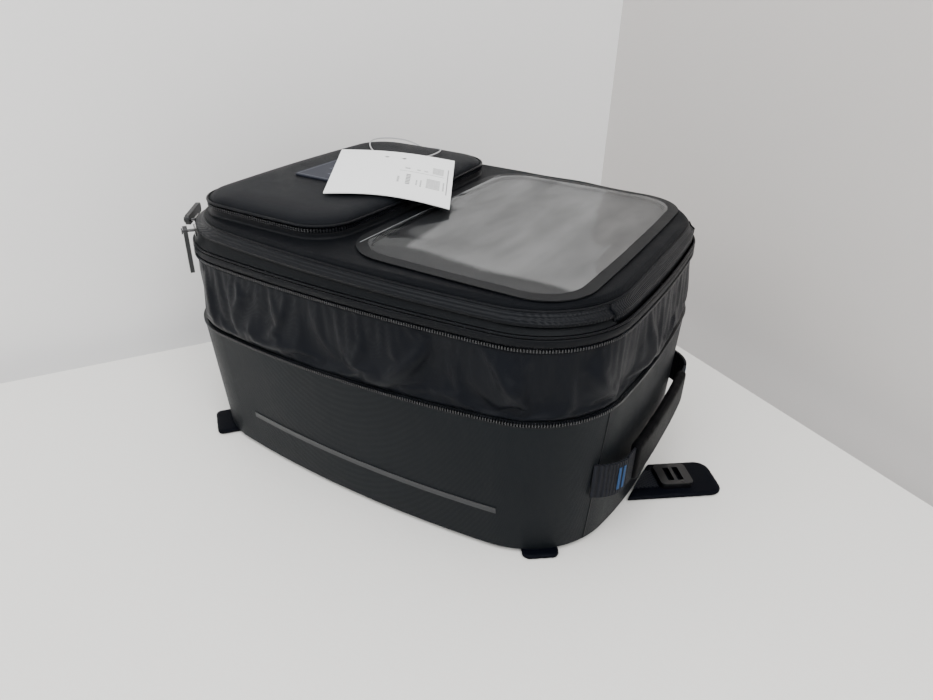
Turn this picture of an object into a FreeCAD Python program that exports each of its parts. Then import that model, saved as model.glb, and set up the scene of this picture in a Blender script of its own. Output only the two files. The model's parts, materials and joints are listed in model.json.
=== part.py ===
"""Expandable motorcycle tank bag, built as a parametric FreeCAD document.

Frame: +X is the front of the bag (the lid's hinge end), +Y its left side, +Z up.
The origin is the centre of the footprint, on the surface that the bag stands on.
All sizes are millimetres.
"""
import FreeCAD, Part
import math
import os
import Sketcher
from FreeCAD import Placement, Rotation, Vector

DRIVING_DIMENSIONS = {
    # Outlines at seven levels: four bowed edges joined by four round corners.
    "foot_half_length": 191, "foot_half_width": 140.5, "foot_side_radius": 942,
    "foot_end_radius": 382, "foot_corner_radius": 75, "foot_centre": 0,
    "shoulder_half_length": 190, "shoulder_half_width": 149, "shoulder_side_radius": 864,
    "shoulder_end_radius": 872, "shoulder_corner_radius": 71.5, "shoulder_centre": 0,
    "rim_half_length": 187, "rim_half_width": 144, "rim_side_radius": 1370,
    "rim_end_radius": 1100, "rim_corner_radius": 70.5, "rim_centre": -0.5,
    "zip_half_length": 182, "zip_half_width": 141.5, "zip_side_radius": 1220,
    "zip_end_radius": 1800, "zip_corner_radius": 69.5, "zip_centre": 0.5,
    "lid_half_length": 176, "lid_half_width": 139, "lid_side_radius": 1084,
    "lid_end_radius": 4500, "lid_corner_radius": 68.5, "lid_centre": 2,
    "pocket_half_length": 74, "pocket_half_width": 121, "pocket_side_radius": 1500,
    "pocket_end_radius": 1500, "pocket_corner_radius": 30, "pocket_centre": -94,
    "window_half_length": 82, "window_half_width": 117, "window_side_radius": 3000,
    "window_end_radius": 3000, "window_corner_radius": 30, "window_centre": 75,
    # Heights of the rings, and how far they tip up towards the front, in degrees.
    "foot_height": 4, "shoulder_height": 112, "shoulder_tilt": 2.2, "rim_tilt": 1,
    "expansion_height": 54, "rim_band_height": 7.5, "zip_line_height": 186,
    "lid_edge_height": 193.5, "lid_thickness": 5.5,
    # Shell and lining.
    "wall": 3, "seam_half_width": 91, "seam_gap": 0.4, "lining_thickness": 0.8,
    "stiffener_thickness": 2, "gusset_thickness": 1.6,
    "stripe_height": 39, "stripe_width": 5, "stripe_length": 226, "stripe_centre": 13,
    # Zips.
    "teeth_height": 2.2, "coil_width": 1.5, "coil_height": 1.8, "tape_thickness": 0.9,
    "zip_gap": 1.2,
    "piping_diameter": 1.6, "slider_length": 11, "slider_plate": 1.3, "stud_diameter": 2.4,
    "pull_length": 38, "pull_width": 8, "pull_thickness": 3.2, "main_pull_clearance": 8.1,
    "small_pull_length": 17, "small_pull_width": 7, "small_pull_thickness": 2.4,
    # Pocket on the lid, with its label.
    "pocket_wall_height": 4, "pocket_coil_height": 1.6, "pocket_top_rise": 7,
    "pocket_top_inset": 26, "label_length": 46, "label_width": 88, "label_thickness": 1,
    # Map window.
    "film_thickness": 0.5, "window_border": 8,
    # Handles: a long crown arc, and a tight arc at each end down into the shell's seam.
    "handle_crown": 208.5, "handle_crown_radius": 330, "handle_end_radius": 30,
    "handle_end_x": 167.3, "handle_end_y": 68.3, "handle_half_span": 75,
    "webbing_thickness": 2, "webbing_width": 28, "handle_bottom": 48,
    "grip_half_length": 62, "grip_thickness": 6.5, "grip_width": 30,
    "bar_tack_width": 2.2, "bar_tack_height": 19,
    # Mounting flaps and the front strap.
    "flap_clearance": 0.2, "flap_thickness": 3.4, "flap_corner": 5,
    "rear_flap_length": 34, "rear_flap_width": 36, "front_flap_length": 28,
    "front_flap_width": 27, "strap_pad_length": 96, "strap_pad_width": 41,
    "strap_pad_corner": 11, "strap_root": 191.6, "strap_turn": 37,
    "strap_webbing_length": 34, "strap_webbing_width": 20, "strap_webbing_thickness": 1.4,
    "buckle_length": 27, "buckle_width": 25, "buckle_thickness": 5,
    "buckle_slot_length": 16, "buckle_slot_width": 5,
    # Hang tag and its string.
    "tag_length": 130, "tag_width": 100, "tag_thickness": 0.6, "tag_height": 218.4,
    "tag_turn": 30, "tag_hole_diameter": 4, "tag_hole_offset": 46, "tag_hole_spacing": 15,
    "string_diameter": 1.2,
}

doc = FreeCAD.newDocument("tank_bag")
sheet = doc.addObject("Spreadsheet::Sheet", "dims")
for row, (alias, size) in enumerate(DRIVING_DIMENSIONS.items(), start=1):
    sheet.set(f"A{row}", alias)
    sheet.set(f"B{row}", str(size))
    sheet.setAlias(f"B{row}", alias)
doc.recompute()

NODES = []  # names of the objects that are written out, one per physical piece


def number(expression):
    """Value of an expression on the sheet's cells, as a plain number."""
    result = sheet.evalExpression(expression)
    return float(getattr(result, "Value", result))


def node(piece):
    """Mark an object as a finished piece."""
    NODES.append(piece.Name)
    return piece


def bind(piece, **expressions):
    """Bind properties, with __ for a dot, to expressions."""
    for prop, expression in expressions.items():
        piece.setExpression(prop.replace("__", "."), str(expression))


def add(kind, name, **properties):
    piece = doc.addObject(kind, name)
    piece.Label = name
    for prop, value in properties.items():
        setattr(piece, prop, value)
    return piece


# --------------------------------------------------------------------------- outlines

def corner_geometry(level):
    """Centre of the front left corner arc, its start and finish angles, and the arc centres."""
    half_length, half_width, side, end, corner = (
        number(f"dims.{level}_{part}")
        for part in ("half_length", "half_width", "side_radius", "end_radius", "corner_radius"))
    side_centre, end_centre = half_width - side, half_length - end
    span = math.hypot(side_centre, end_centre)
    to_side, to_end = side - corner, end - corner
    along = (to_side ** 2 - to_end ** 2 + span ** 2) / (2 * span)
    across = math.sqrt(to_side ** 2 - along ** 2)
    unit = Vector(end_centre, -side_centre) / span
    centre = Vector(0, side_centre) + unit * along + Vector(unit.y, -unit.x) * across
    start = math.atan2(centre.y, centre.x - end_centre)
    finish = math.atan2(centre.y - side_centre, centre.x)
    return centre, start, finish, end_centre, side_centre


def constrain(sketch, kind, *arguments, to=None):
    """Add one constraint and, where it has a size, bind that size."""
    index = sketch.addConstraint(Sketcher.Constraint(kind, *arguments))
    if to is not None:
        sketch.setExpression(f"Constraints[{index}]", to)


def draw_outline(sketch, level, inset):
    """Add a level's outline to a sketch: eight arcs, tangent to one another."""
    centre, start, finish, end_centre, side_centre = corner_geometry(level)
    side, end, corner = (number(f"dims.{level}_{part}_radius - ({inset})")
                         for part in ("side", "end", "corner"))
    half = math.pi
    arcs = [
        (Vector(end_centre, 0), end, -start, start),
        (centre, corner, start, finish),
        (Vector(0, side_centre), side, finish, half - finish),
        (Vector(-centre.x, centre.y), corner, half - finish, half - start),
        (Vector(-end_centre, 0), end, half - start, half + start),
        (-centre, corner, half + start, half + finish),
        (Vector(0, -side_centre), side, half + finish, 2 * half - finish),
        (Vector(centre.x, -centre.y), corner, 2 * half - finish, 2 * half - start),
    ]
    first = sketch.GeometryCount
    for middle, radius, begin, finish_angle in arcs:
        circle = Part.Circle(middle, Vector(0, 0, 1), radius)
        sketch.addGeometry(Part.ArcOfCircle(circle, begin, finish_angle), False)
    for index in range(8):
        constrain(sketch, "Tangent", first + index, 2, first + (index + 1) % 8, 1)
    for index, axis in ((0, -1), (4, -1), (2, -2), (6, -2)):
        constrain(sketch, "PointOnObject", first + index, 3, axis)
    for one, other in ((0, 4), (2, 6), (1, 3), (3, 5), (5, 7)):
        constrain(sketch, "Equal", first + one, first + other)
    for index, part, size in ((0, "end", end), (2, "side", side), (1, "corner", corner)):
        constrain(sketch, "Radius", first + index, size,
                  to=f"dims.{level}_{part}_radius - ({inset})")
    lengthways = f"dims.{level}_end_radius - dims.{level}_half_length"
    crossways = f"dims.{level}_side_radius - dims.{level}_half_width"
    constrain(sketch, "DistanceX", first, 3, -1, 1, -end_centre, to=lengthways)
    constrain(sketch, "DistanceX", -1, 1, first + 4, 3, -end_centre, to=lengthways)
    constrain(sketch, "DistanceY", first + 2, 3, -1, 1, -side_centre, to=crossways)
    constrain(sketch, "DistanceY", -1, 1, first + 6, 3, -side_centre, to=crossways)


def body_sketch(body, name, plane_role="XY_Plane"):
    """Sketch on one of the body's own origin planes."""
    plane = next(item for item in body.Origin.OriginFeatures if item.Role == plane_role)
    sketch = body.newObject("Sketcher::SketchObject", name)
    sketch.AttachmentSupport = (plane, [""])
    sketch.MapMode = "FlatFace"
    return sketch


def section(body, name, station, wall):
    """Sketch of the outline at a station, doubled inwards where there is a wall."""
    level, height, tilt, inset = station
    sketch = body_sketch(body, name)
    draw_outline(sketch, level, inset)
    if wall is not None:
        draw_outline(sketch, level, f"{inset} + ({wall})")
    sketch.AttachmentOffset = Placement(Vector(), Rotation(Vector(0, -1, 0), number(tilt)))
    bind(sketch, AttachmentOffset__Base__x=f"dims.{level}_centre", AttachmentOffset__Base__z=height,
         AttachmentOffset__Rotation__Angle=tilt)
    return sketch


def ring(name, low, high, wall=None):
    """Body between two stations: a wall of even thickness, or solid where there is none."""
    body = add("PartDesign::Body", name)
    lower = section(body, f"{name}_low", low, wall)
    upper = section(body, f"{name}_high", high, wall)
    loft = body.newObject("PartDesign::AdditiveLoft", f"{name}_loft")
    loft.Profile = lower
    loft.Sections = [upper]
    loft.Ruled = True
    return body


def cut(name, base, tool):
    return add("Part::Cut", name, Base=base, Tool=tool)


def common(name, base, tool):
    return add("Part::Common", name, Base=base, Tool=tool)


def deeper(station, wall):
    """The same station, further in."""
    level, height, tilt, inset = station
    return level, height, tilt, f"{inset} + ({wall})"


def box(name, low, high):
    """Box between two corners, each three expressions."""
    piece = add("Part::Box", name)
    bind(piece, Length=f"({high[0]}) - ({low[0]})", Width=f"({high[1]}) - ({low[1]})",
         Height=f"({high[2]}) - ({low[2]})", Placement__Base__x=low[0],
         Placement__Base__y=low[1], Placement__Base__z=low[2])
    return piece


# --------------------------------------------------------------------------- stations

FOOT = ("foot", "dims.foot_height", "0", "0")
SHOULDER = ("shoulder", "dims.shoulder_height", "dims.shoulder_tilt", "0")
RIM_FOOT = "dims.shoulder_height + dims.expansion_height + 5"
RIM_TOP = f"{RIM_FOOT} + dims.rim_band_height"


def shoulder(rise, inset="0"):
    return ("shoulder", f"dims.shoulder_height + ({rise})", "dims.shoulder_tilt", inset)


def rim(height, inset="0"):
    return ("rim", height, "dims.rim_tilt", inset)


def zip_level(rise, inset="0"):
    return ("zip", f"dims.zip_line_height + ({rise})", "0", inset)


def lid(rise, inset="0"):
    return ("lid", f"dims.lid_edge_height + ({rise})", "0", inset)


def pocket(rise, inset="0"):
    return ("pocket", f"{LID_TOP} + ({rise})", "0", inset)


def window(height, inset="0"):
    return ("window", height, "0", inset)


LID_TOP = "dims.lid_edge_height + dims.lid_thickness"
REACH = "250"  # half size of a cutting box that passes everything


# --------------------------------------------------------------------------- lower shell

def shell():
    """Moulded lower shell: two long side panels that turn the corners, two end panels."""
    wall = ring("shell_wall", FOOT, SHOULDER, "dims.wall")
    seam, gap = "dims.seam_half_width", "dims.seam_gap"
    top = "200"
    panels = {
        "left_side_panel": ((f"-{REACH}", f"{seam} + {gap}", "0"), (REACH, REACH, top)),
        "right_side_panel": ((f"-{REACH}", f"-{REACH}", "0"), (REACH, f"-{seam} - {gap}", top)),
        "front_end_panel": (("0", f"-{seam}", "0"), (REACH, seam, top)),
        "rear_end_panel": ((f"-{REACH}", f"-{seam}", "0"), ("0", seam, top)),
    }
    for name, (low, high) in panels.items():
        node(common(name, wall, box(f"{name}_box", low, high)))
    floor = "dims.foot_height + dims.stiffener_thickness"
    node(ring("wall_lining", ("foot", f"{floor} + 1.2", "0", "dims.wall + 0.3"),
              shoulder("-0.5", "dims.wall + 0.3"), "dims.lining_thickness"))
    node(ring("floor_lining", ("foot", f"{floor} + 0.2", "0", "dims.wall + 0.4"),
              ("foot", f"{floor} + 0.2 + dims.lining_thickness", "0", "dims.wall + 0.4")))
    plate_low = ("foot", "dims.foot_height", "0", "dims.wall + 0.3")
    plate_high = ("foot", "dims.foot_height + dims.stiffener_thickness", "0", "dims.wall + 0.3")
    node(ring("base_stiffener", plate_low, plate_high))


def base():
    """Non-slip bottom panel, cut back at the corners where the flaps are sewn in."""
    low, high = ("foot", "0", "0", "5"), ("foot", "dims.foot_height", "0", "4")
    plate = ring("base_blank", low, high)
    for index, (along, across) in enumerate(((1, 1), (1, -1), (-1, 1), (-1, -1))):
        corner = add("Part::Box", f"base_recess_{index}")
        bind(corner, Length="90", Width="90", Height="dims.foot_height + 2")
        turn = math.degrees(math.atan2(across * 0.8, along * 0.6))
        corner.Placement = Placement(Vector(along * 120, across * 81, -1),
                                     Rotation(Vector(0, 0, 1), turn - 45))
        last = index == 3
        plate = cut("base_panel" if last else f"base_cut_{index}", plate, corner)
    node(plate)


def stripes():
    """Reflective stripe on each long side, just proud of the panel."""
    film = ring("stripe_film", deeper(FOOT, "-0.55"), deeper(SHOULDER, "-0.55"), "0.5")
    for name, low, high in (("left_reflective_stripe", "0", REACH),
                            ("right_reflective_stripe", f"-{REACH}", "0")):
        start = "dims.stripe_centre - dims.stripe_length / 2"
        finish = "dims.stripe_centre + dims.stripe_length / 2"
        middle = "dims.stripe_height"
        node(common(name, film, box(
            f"{name}_box", (start, low, f"{middle} - dims.stripe_width / 2"),
            (finish, high, f"{middle} + dims.stripe_width / 2"))))


# --------------------------------------------------------------------------- zips

def expansion():
    """Expansion zip, opened: one row of teeth on the shell, one on the rim, fabric between."""
    node(ring("expansion_tape_lower", shoulder("0.2", "1.5"), shoulder("3", "1.6"),
              "dims.tape_thickness"))
    node(ring("expansion_teeth_lower", shoulder("0.4", "-0.3"),
              shoulder("0.4 + dims.teeth_height", "-0.3"), "1.5"))
    node(ring("expansion_gusset", shoulder("3.3", "4.4"), rim(f"{RIM_FOOT} - 4.5", "2.5"),
              "dims.gusset_thickness"))
    node(ring("expansion_tape_upper", rim(f"{RIM_FOOT} - 4.2", "1.5"),
              rim(f"{RIM_FOOT} - 0.3", "1.3"), "dims.tape_thickness"))
    node(ring("expansion_teeth_upper", rim(f"{RIM_FOOT} - 0.4 - dims.teeth_height", "-0.4"),
              rim(f"{RIM_FOOT} - 0.4", "-0.4"), "1.5"))


def rim_and_main_zip():
    """Rim band above the expansion, main zip round three sides, hinge band in front."""
    node(ring("rim_band", rim(RIM_FOOT), rim(f"{RIM_TOP} - 1.2"), "dims.wall - 0.5"))
    node(ring("rim_piping", rim(f"{RIM_TOP} - 1", "-0.3"), rim(f"{RIM_TOP} + 0.6", "-0.3"),
              "dims.piping_diameter"))
    gap, coil = "dims.zip_gap / 2", "dims.zip_gap / 2 + dims.coil_height"
    tape_foot = rim(f"{RIM_TOP} + 0.9", "1")
    rings = {
        "main_zip_tape_lower": (tape_foot, zip_level(f"-{gap}", "0.6"), "dims.tape_thickness"),
        "main_zip_tape_upper": (zip_level(gap, "0.6"), lid("-1.2", "0.6"), "dims.tape_thickness"),
        "main_zip_coil_lower": (zip_level(f"-({coil})", "1.2"), zip_level(f"-{gap}", "2.2"),
                                "dims.coil_width"),
        "main_zip_coil_upper": (zip_level(gap, "2"), zip_level(coil, "4.2"),
                                "dims.coil_width"),
    }
    front = box("front_zone", ("0", "-dims.seam_half_width", "0"),
                (REACH, "dims.seam_half_width", "300"))
    for name, (low, high, wall) in rings.items():
        node(cut(name, ring(f"{name}_ring", low, high, wall), front))
    fabric = ring("hinge_fabric", tape_foot, lid("-1.3", "0.6"), "1.4")
    inner_front = box("hinge_zone", ("0", "-dims.seam_half_width + 0.4", "0"),
                      (REACH, "dims.seam_half_width - 0.4", "300"))
    node(common("lid_hinge_band", fabric, inner_front))


# --------------------------------------------------------------------------- flat pieces

def rounded_plate(name, length, width, thickness, corner):
    """Body: a plate with round corners, centred on its own origin, from z = 0 up."""
    body = add("PartDesign::Body", name)
    sketch = body_sketch(body, f"{name}_profile")
    half_x, half_y, radius = number(length) / 2, number(width) / 2, number(corner)
    in_x, in_y = half_x - radius, half_y - radius
    centres = [Vector(in_x, in_y), Vector(-in_x, in_y), Vector(-in_x, -in_y), Vector(in_x, -in_y)]
    for quarter, middle in enumerate(centres):
        circle = Part.Circle(middle, Vector(0, 0, 1), radius)
        first = quarter * math.pi / 2
        sketch.addGeometry(Part.ArcOfCircle(circle, first, first + math.pi / 2), False)
    for quarter in range(4):
        start = sketch.getPoint(quarter, 2)
        finish = sketch.getPoint((quarter + 1) % 4, 1)
        sketch.addGeometry(Part.LineSegment(start, finish), False)
    for quarter in range(4):
        constrain(sketch, "Tangent", quarter, 2, 4 + quarter, 1)
        constrain(sketch, "Tangent", 4 + quarter, 2, (quarter + 1) % 4, 1)
    for line, kind in ((4, "Horizontal"), (5, "Vertical"), (6, "Horizontal"), (7, "Vertical")):
        constrain(sketch, kind, line)
    for quarter in range(3):
        constrain(sketch, "Equal", quarter, quarter + 1)
    constrain(sketch, "Radius", 0, radius, to=corner)
    across, up = f"({length}) / 2 - ({corner})", f"({width}) / 2 - ({corner})"
    constrain(sketch, "DistanceX", -1, 1, 0, 3, in_x, to=across)
    constrain(sketch, "DistanceY", -1, 1, 0, 3, in_y, to=up)
    constrain(sketch, "DistanceX", 2, 3, -1, 1, in_x, to=across)
    constrain(sketch, "DistanceY", 2, 3, -1, 1, in_y, to=up)
    pad = body.newObject("PartDesign::Pad", f"{name}_pad")
    pad.Profile = sketch
    bind(pad, Length=thickness)
    return body


def holes(body, name, places, radius):
    """Cut round holes through a plate, each place two expressions."""
    sketch = body_sketch(body, f"{name}_profile")
    for index, (across, up) in enumerate(places):
        x, y = number(across), number(up)
        sketch.addGeometry(Part.Circle(Vector(x, y), Vector(0, 0, 1), number(radius)), False)
        constrain(sketch, "Radius", index, number(radius), to=radius)
        constrain(sketch, "DistanceX", -1, 1, index, 3, x, to=across)
        constrain(sketch, "DistanceY", -1, 1, index, 3, y, to=up)
    through_all(body, name, sketch)


def through_all(body, name, sketch):
    opening = body.newObject("PartDesign::Pocket", name)
    opening.Profile = sketch
    opening.Type = "ThroughAll"
    opening.Midplane = True


def placed(piece, x, y, z, turn):
    """Lay a piece at a point, turned about the vertical; each an expression on the sheet."""
    piece.Placement.Rotation = Rotation(Vector(0, 0, 1), number(turn))
    bind(piece, Placement__Base__x=x, Placement__Base__y=y, Placement__Base__z=z,
         Placement__Rotation__Angle=turn)
    return piece


# --------------------------------------------------------------------------- sectors

def sector(name, centre, inner, outer, low, high, middle, spread):
    """Block of a round wall between two radii and two heights, spread about an angle."""
    barrels = []
    for edge, radius in (("in", inner), ("out", outer)):
        barrel = add("Part::Cylinder", f"{name}_{edge}")
        turn = Rotation(Vector(0, 0, 1), middle - number(spread) / 2)
        barrel.Placement = Placement(centre, turn)
        bind(barrel, Radius=radius, Height=f"({high}) - ({low})", Angle=spread,
             Placement__Base__z=low)
        barrels.append(barrel)
    return cut(name, barrels[1], barrels[0])


def bearing(angle):
    """Level unit vector at an angle from +X, in degrees."""
    return Vector(math.cos(math.radians(angle)), math.sin(math.radians(angle)))


def corner_arc(level, side_x, side_y):
    """Centre and radius of one of a level's corner arcs, named by the signs of its x and y."""
    corner = corner_geometry(level)[0]
    centre = Vector(side_x * corner.x + number(f"dims.{level}_centre"), side_y * corner.y)
    return centre, f"dims.{level}_corner_radius"


def slider(name, arc, angle, line, outer, inner, stud):
    """Zip slider: outer plate, inner plate, the neck between them, and its pull's stud.

    outer and inner are a plate's inset, its foot and its head, from the zip's line; stud is
    the stretch of the stud between the outer plate and its head.
    """
    centre, track = arc
    spread = f"dims.slider_length / ({track}) * 57.3"
    plates = []
    for side, (inset, low, high), offset in (("outer", outer, "0"),
                                             ("inner", inner, "-dims.slider_plate")):
        face = f"{track} - ({inset}) + ({offset})"
        plates.append(sector(f"{name}_{side}", centre, face, f"{face} + dims.slider_plate",
                             f"{line} + ({low})", f"{line} + ({high})", angle, spread))
    neck = sector(f"{name}_neck", centre, f"{track} - ({inner[0]}) - 0.5",
                  f"{track} - ({outer[0]}) + 0.5", f"{line} - 0.4", f"{line} + 0.4",
                  angle, f"2.4 / ({track}) * 57.3")
    turn = Rotation(Vector(0, 0, 1), bearing(angle))
    face = number(f"{track} - ({outer[0]}) + dims.slider_plate - 0.3")
    height = number(line)
    parts = plates + [neck]
    for end, reach, radius, length in (
            ("bar", face, "dims.stud_diameter / 2", f"{stud} + 0.4"),
            ("head", face + number(stud) + 0.3, "dims.stud_diameter", "1")):
        piece = add("Part::Cylinder", f"{name}_{end}")
        bind(piece, Radius=radius, Height=length)
        piece.Placement = Placement(centre + bearing(angle) * reach + Vector(0, 0, height), turn)
        parts.append(piece)
    return add("Part::MultiFuse", name, Shapes=parts)


def pull(name, size, stud, outward, up, extra_holes=()):
    """Moulded pull: a tongue with a hole near its end, hung on a slider's stud.

    stud is where the stud's axis crosses the pull's inner face; up runs from the pull's
    middle to that hole.
    """
    length, width, thickness = (f"dims.{size}_{side}" for side in ("length", "width", "thickness"))
    body = rounded_plate(name, width, length, thickness, "3")
    reach = f"{length} / 2 - 3.6"
    holes(body, f"{name}_holes", [("0", reach), *extra_holes], "dims.stud_diameter / 2 + 0.3")
    turn = Rotation(up.cross(outward), up, outward, "ZYX")
    body.Placement = Placement(stud - up * number(reach), turn)
    return body


# --------------------------------------------------------------------------- lid

def lid_parts():
    """Padded lid panel with its lining, edge piping, map film, binding and map pocket."""
    blank = ring("lid_blank", lid("0", "1.2"), ("lid", LID_TOP, "0", "4"))
    recess = ring("map_recess", window(f"{LID_TOP} - 1.6", "4"), window(f"{LID_TOP} + 1", "4"))
    node(cut("lid_panel", blank, recess))
    node(ring("map_pocket_backing", window(f"{LID_TOP} - 1.5", "4.4"),
              window(f"{LID_TOP} - 0.7", "4.4")))
    film_top = f"{LID_TOP} + dims.film_thickness"
    node(ring("map_window_film", window(LID_TOP), window(film_top)))
    border = "-dims.window_border"
    node(ring("window_binding", window(f"{film_top} + 0.1", border),
              window(f"{film_top} + 0.9", border), "dims.window_border + 3"))
    node(ring("lid_edge_piping", lid("-0.9", "-0.5"), lid("0.7", "-0.5"), "1.5"))
    node(ring("lid_lining", lid("-1", "3.4"), lid("-0.2", "3.4")))


POCKET_LINE = "dims.pocket_wall_height + 0.1 + dims.pocket_coil_height + 0.6"
POCKET_TOP = f"{POCKET_LINE} + dims.pocket_coil_height + 0.8"


def pocket_parts():
    """Flat pocket on the rear of the lid: wall, zip halves, padded flap, label."""
    rear = box("pocket_rear_zone", (f"-{REACH}", "-85", "0"), ("-160", "85", "300"))
    rings = {
        "pocket_wall": ("0.1", "dims.pocket_wall_height", "0", "1.4"),
        "pocket_zip_lower": ("dims.pocket_wall_height + 0.1", f"{POCKET_LINE} - 0.6", "0.3", "1.6"),
        "pocket_zip_upper": (f"{POCKET_LINE} + 0.6", f"{POCKET_TOP} - 0.2", "0.3", "1.6"),
    }
    for name, (low, high, inset, wall) in rings.items():
        blank = ring(f"{name}_ring", pocket(low, inset), pocket(high, inset), wall)
        node(cut(name, blank, rear))
    strip = ring("pocket_hinge_ring", pocket("0.1"), pocket(f"{POCKET_TOP} - 0.2"), "1.4")
    inner_rear = box("pocket_hinge_zone", (f"-{REACH}", "-84.6", "0"), ("-160.4", "84.6", "300"))
    node(common("pocket_hinge_strip", strip, inner_rear))
    node(ring("pocket_top_panel", pocket(POCKET_TOP),
              pocket(f"{POCKET_TOP} + dims.pocket_top_rise", "dims.pocket_top_inset")))
    label = rounded_plate("label_patch", "dims.label_length", "dims.label_width",
                          "dims.label_thickness", "3")
    top = f"{LID_TOP} + {POCKET_TOP} + dims.pocket_top_rise"
    node(placed(label, "-112", "0", f"{top} + 0.1", "0"))


# --------------------------------------------------------------------------- sliders

def zip_sliders():
    """Two main sliders that meet at the rear right corner, the expansion's and the pocket's."""
    up, line = Vector(0, 0, 1), "dims.zip_line_height"
    arc = corner_arc("zip", -1, -1)
    clearance = "dims.main_pull_clearance"
    for name, angle, hole_up in (("right", 235, up), ("rear", 215, -bearing(125))):
        node(slider(f"main_slider_{name}", arc, angle, line, ("-2", "-3", "3"),
                    ("6.4", "-3", "3"), f"{clearance} + dims.pull_thickness - 3"))
        outward = bearing(angle)
        stud = arc[0] + outward * number(f"{arc[1]} + {clearance}") + up * number(line)
        node(pull(f"main_pull_{name}", "pull", stud, outward, hole_up))

    arc, line = corner_arc("shoulder", -1, 1), "dims.shoulder_height + 3.7"
    outward = bearing(135)
    expansion_slider = slider("expansion_slider", arc, 135, line, ("-0.9", "-3", "2"),
                              ("2.9", "-3", "0.6"), "dims.pull_thickness + 0.6")
    stud = arc[0] + outward * number(f"{arc[1]} + 0.9 + dims.slider_plate + 0.3")
    expansion_pull = pull("expansion_pull", "pull", stud + up * number(line), outward, up)
    about = Vector(0, 0, number("dims.shoulder_height"))
    tilt = Placement(Vector(), Rotation(Vector(0, -1, 0), number("dims.shoulder_tilt")), about)
    expansion_slider.Placement = tilt
    expansion_pull.Placement = tilt * expansion_pull.Placement
    node(expansion_slider)
    node(expansion_pull)

    arc = (Vector(number("dims.pocket_centre"),
                  number("dims.pocket_half_width - dims.pocket_side_radius")),
           "dims.pocket_side_radius")
    line = f"{LID_TOP} + {POCKET_LINE}"
    angle = 90 + math.degrees(24 / number(arc[1]))
    node(slider("pocket_slider", arc, angle, line, ("-0.8", "-2.1", "2.1"),
                ("2.5", "-2.1", "2.1"), "dims.small_pull_thickness + 0.6"))
    stud = arc[0] + bearing(angle) * number(f"{arc[1]} + 0.8 + dims.slider_plate + 0.3")
    string_hole = ("0", "3.6 - dims.small_pull_length / 2")
    node(pull("pocket_pull", "small_pull", stud + up * number(line), bearing(90),
              Vector(-1, 0, 0), [string_hole]))


# --------------------------------------------------------------------------- handles

def crown(name, side, half_span, inset, thickness, low, height):
    """Long curved band of a handle, with its ends squared off."""
    edge = f"dims.handle_crown_radius - ({inset})"
    middle = Vector(side * number("dims.handle_crown - dims.handle_crown_radius"), 0)
    spread = f"2 * asin(({half_span}) / dims.handle_crown_radius) / 1 deg"
    return sector(name, middle, f"{edge} - ({thickness})", edge, low, f"{low} + {height}",
                  0 if side > 0 else 180, spread)


def handles():
    """Grab handle across each end: a padded grip round webbing, with its ends sewn in."""
    shell_wall = doc.getObject("shell_wall")
    low = "dims.handle_bottom"
    inset = "(dims.grip_thickness - dims.webbing_thickness) / 2"
    tacks = []
    for side, name in ((1, "front"), (-1, "rear")):
        webbing = node(crown(f"{name}_handle_webbing", side, "dims.handle_half_span", inset,
                             "dims.webbing_thickness", low, "dims.webbing_width"))
        sleeve = crown(f"{name}_handle_sleeve", side, "dims.grip_half_length", "0",
                       "dims.grip_thickness", f"{low} + (dims.webbing_width - dims.grip_width) / 2",
                       "dims.grip_width")
        node(cut(f"{name}_handle_grip", sleeve, webbing))
        for flank, hand in ((1, "left"), (-1, "right")):
            anchor = f"{name}_{hand}_handle_end"
            centre = Vector(side * number("dims.handle_end_x"), flank * number("dims.handle_end_y"))
            facing = 90 - side * 90
            turned = [facing + side * flank * angle for angle in (40, 20, 28)]
            inner = "dims.handle_end_radius - dims.webbing_thickness / 2"
            outer = "dims.handle_end_radius + dims.webbing_thickness / 2"
            end = sector(f"{anchor}_strap", centre, inner, outer, low,
                         f"{low} + dims.webbing_width", turned[0], "52")
            node(cut(anchor, end, shell_wall))
            for index, angle in enumerate(turned[1:]):
                tacks.append(sector(
                    f"{anchor}_tack_{index}", centre, f"{outer} + 0.1", f"{outer} + 0.5",
                    f"{low} + (dims.webbing_width - dims.bar_tack_height) / 2",
                    f"{low} + (dims.webbing_width + dims.bar_tack_height) / 2", angle,
                    f"dims.bar_tack_width / ({outer}) * 57.3"))
    node(add("Part::Compound", "handle_bar_tacks", Links=tacks))


# --------------------------------------------------------------------------- flaps

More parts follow.
